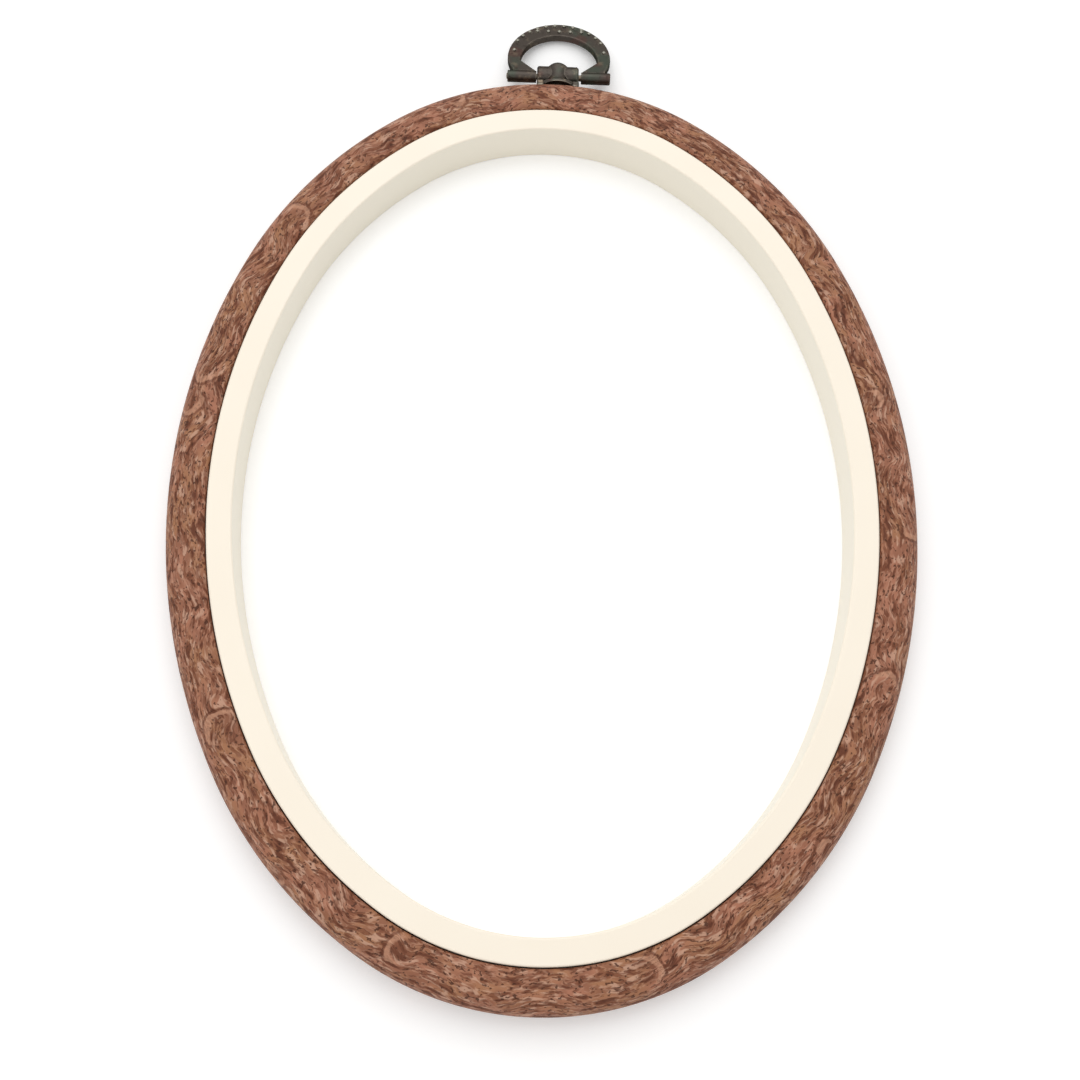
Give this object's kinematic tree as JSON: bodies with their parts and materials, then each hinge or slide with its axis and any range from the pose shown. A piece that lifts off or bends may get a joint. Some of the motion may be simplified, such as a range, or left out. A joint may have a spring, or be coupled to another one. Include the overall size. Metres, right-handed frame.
{
  "type": "embroidery hoop",
  "caption": "Oval flexi embroidery hoop: a rigid inner ring in a stretchy wood-grain outer ring, with a hinged hanger for showing the finished work.",
  "frame": {"origin": "middle of the oval, in the plane of the hoop's back face, which lies on the table", "axes": "+Z out of the hoop's front face, +Y along the oval's long axis towards the hanger, +X to the right seen from the front"},
  "size_m": [0.1546, 0.2227, 0.01],
  "materials": {
    "inner_ring_plastic": "cream moulded plastic with a soft sheen",
    "outer_ring_vinyl": "flexible vinyl embossed and printed with a brown burr wood grain",
    "hanger_bronze": "antique bronze plated casting",
    "bail_bronze": "antique bronze plated casting",
    "pin_steel": "dark plated steel wire",
    "screw_steel": "yellow zinc plated steel"
  },
  "bodies": {
    "inner": {"inner_ring": "inner_ring_plastic"},
    "outer": {"outer_ring": "outer_ring_vinyl", "hanger_base": "hanger_bronze", "hinge_pin": "pin_steel", "fixing_screw": "screw_steel"},
    "bail": {"hanger_bail": "bail_bronze"}
  },
  "joints": [
    {"name": "ring_lift_off", "type": "slide", "parent": "inner", "child": "outer", "axis": [0, 0, 1], "range_m": [0, 0.02]},
    {"name": "bail_swing", "type": "hinge", "parent": "outer", "child": "bail", "pos_m": [0.00281, 0.10424, 0.005], "axis": [0.9998, -0.0184, 0], "range_deg": [-112, 137]}
  ]
}
